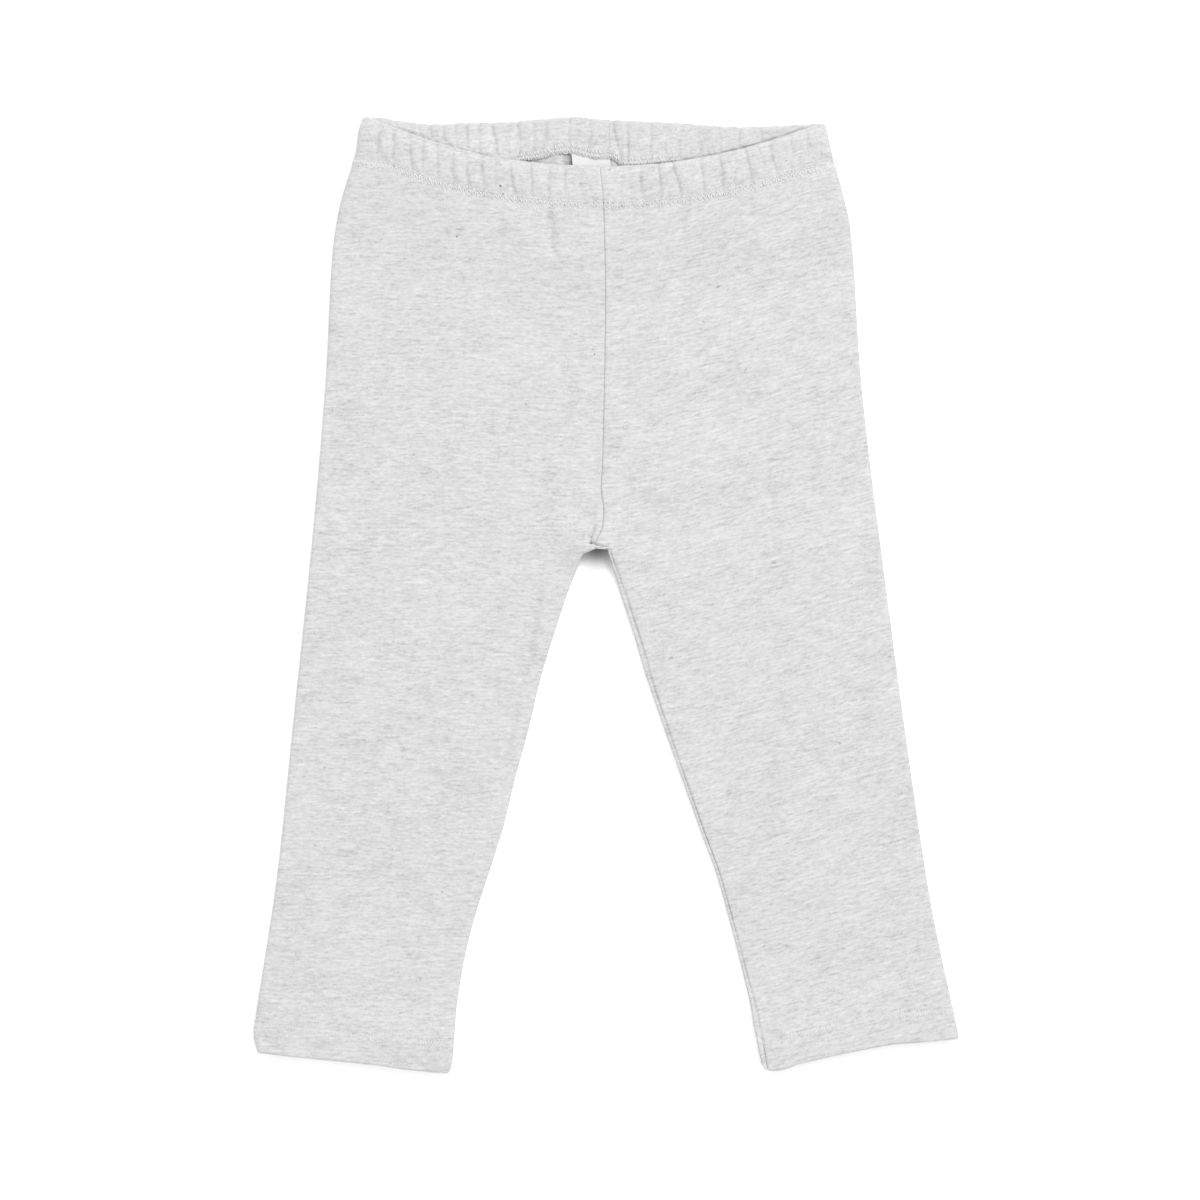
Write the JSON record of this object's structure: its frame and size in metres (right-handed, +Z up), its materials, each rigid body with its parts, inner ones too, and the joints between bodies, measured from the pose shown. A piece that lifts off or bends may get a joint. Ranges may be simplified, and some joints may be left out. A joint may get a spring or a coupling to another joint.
{
  "type": "slim sweatpants",
  "caption": "Slim pull-on toddler sweatpants in heathered jersey with a gathered elastic waist casing and turned hems, laid flat.",
  "frame": {"origin": "on the table under the middle of the laid-out garment", "axes": "+X to the wearer's left, +Y towards the waist, +Z up off the table, with the garment's front side up"},
  "size_m": [0.3102, 0.422, 0.0083],
  "materials": {
    "jersey": "pale grey heather knit, matte with a soft nap",
    "elastic": "woven elastic tape, matte",
    "tape": "plain white satin tape",
    "thread": "matte sewing thread"
  },
  "bodies": {
    "root": {"right_leg": "jersey", "left_leg": "jersey", "waistband_right": "jersey", "waistband_left": "jersey", "right_hem": "jersey", "left_hem": "jersey", "waist_elastic": "elastic", "care_label": "tape"}
  },
  "joints": []
}
